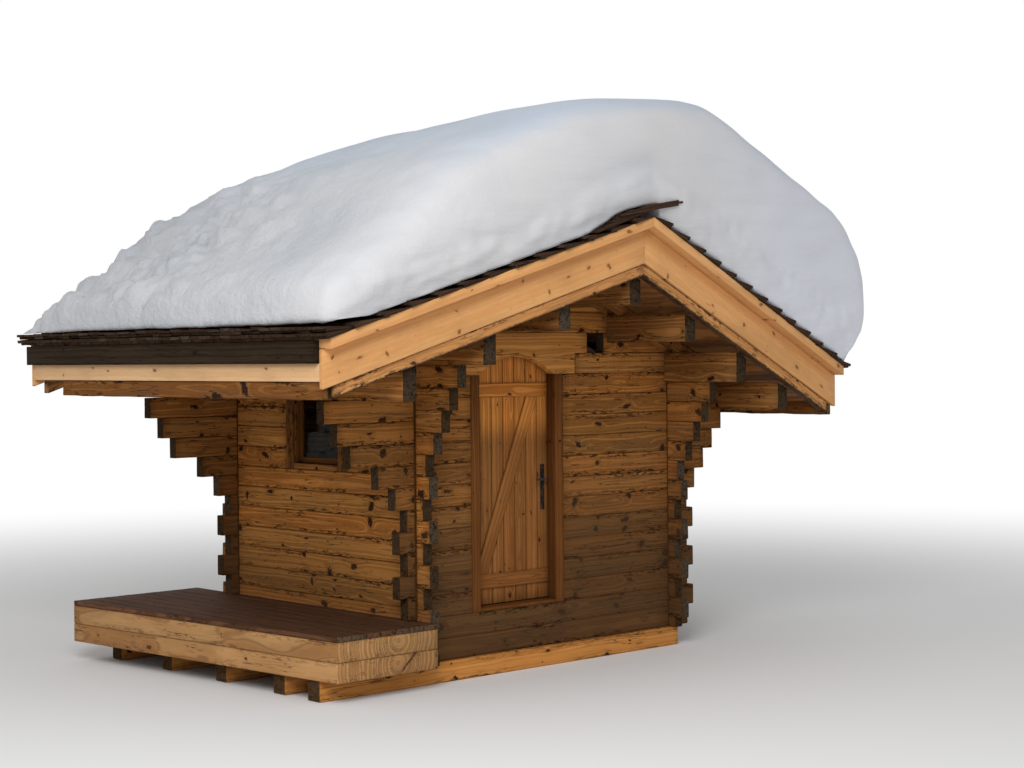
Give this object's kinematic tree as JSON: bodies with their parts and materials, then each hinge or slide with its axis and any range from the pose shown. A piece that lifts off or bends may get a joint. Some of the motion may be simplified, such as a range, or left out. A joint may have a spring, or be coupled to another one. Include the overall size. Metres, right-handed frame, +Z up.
{
  "type": "log cabin",
  "caption": "Small alpine log cabin with crossed corbelled corners, a pointed gable roof under snow, an arched plank door that swings in, a side window and a side deck.",
  "frame": {"origin": "on the ground under the middle of the four walls", "axes": "+Z up, -Y out of the door's wall, +X to the right of a person who faces the door"},
  "size_m": [6.11, 4.733, 4.59],
  "materials": {
    "old_logs": "weathered honey brown hewn logs, dark in the seams",
    "new_wood": "new planed timber, pinkish tan",
    "door_wood": "warm oiled pine boards",
    "deck_wood": "reddish brown, matt",
    "window_wood": "old wood, matt",
    "shingles": "near black weathered shingles",
    "snow": "soft white snow",
    "iron": "black forged iron",
    "sash_paint": "pale painted bars",
    "glass": "clear pane"
  },
  "bodies": {
    "cabin": {"front_wall_left": "old_logs", "front_wall_right": "old_logs", "front_gable": "old_logs", "rear_wall": "old_logs", "rear_gable": "old_logs", "left_wall": "old_logs", "right_wall": "old_logs", "ridge_purlin": "old_logs", "left_upper_purlin": "old_logs", "left_wall_purlin": "old_logs", "left_outer_purlin": "old_logs", "right_upper_purlin": "old_logs", "right_wall_purlin": "old_logs", "right_outer_purlin": "old_logs", "eave_beams": "old_logs", "rafters": "old_logs", "soffits": "old_logs", "left_eave_board": "old_logs", "front_bargeboard_left": "new_wood", "front_bargeboard_right": "new_wood", "rear_bargeboards": "new_wood", "verge_strips": "new_wood", "left_fascia": "new_wood", "right_fascia": "new_wood", "roof_deck": "new_wood", "upper_rafters": "new_wood", "front_lintel": "new_wood", "door_frame": "door_wood", "cross_joists": "deck_wood", "floor_bearers": "deck_wood", "floor_boards": "deck_wood", "deck_beams": "deck_wood", "deck_boards": "deck_wood", "window_frame": "window_wood", "left_shingles": "shingles", "right_shingles": "shingles", "ridge_comb": "shingles", "roof_snow": "snow", "hinge_pins": "iron", "window_sash": "sash_paint", "window_glass": "glass"},
    "door": {"door_leaf": "door_wood", "door_braces": "door_wood", "door_handle": "iron", "door_hinges": "iron"}
  },
  "joints": [
    {"name": "door_hinge", "type": "hinge", "parent": "cabin", "child": "door", "pos_m": [-0.825, -1.063, 1.2], "axis": [0, 0, 1], "range_deg": [0, 95]}
  ]
}
